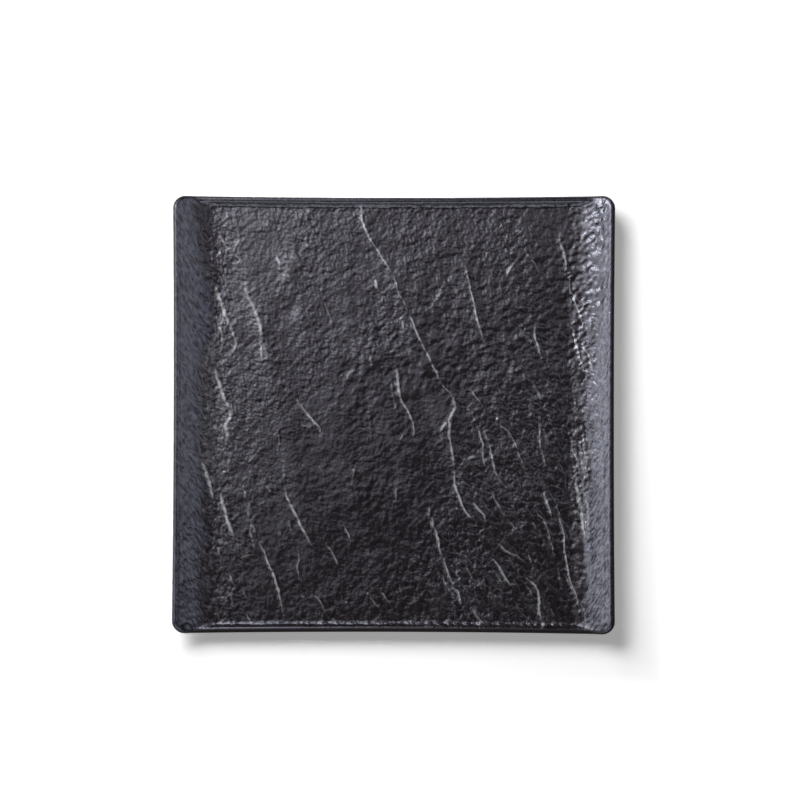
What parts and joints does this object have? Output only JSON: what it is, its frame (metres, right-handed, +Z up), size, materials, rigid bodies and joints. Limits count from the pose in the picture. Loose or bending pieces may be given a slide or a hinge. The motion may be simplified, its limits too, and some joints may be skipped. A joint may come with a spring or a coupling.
{
  "type": "square plate",
  "caption": "Square serving plate with upswept side wings, low rolled end rims, a cleft slate-like face under dark satin glaze and a bare foot ring.",
  "frame": {"origin": "middle of the plate's outline, on the table plane that the foot ring stands on", "axes": "+Z up, +X across the two wings to the picture's right, +Y between the two end rims to the picture's top"},
  "size_m": [0.325, 0.3224, 0.018],
  "materials": {
    "bare_stoneware": "matte",
    "dark_glaze": "satin",
    "dark_base_glaze": "satin"
  },
  "bodies": {
    "root": {"stoneware_body": "bare_stoneware", "outer_glaze": "dark_glaze", "base_glaze": "dark_base_glaze"}
  },
  "joints": []
}
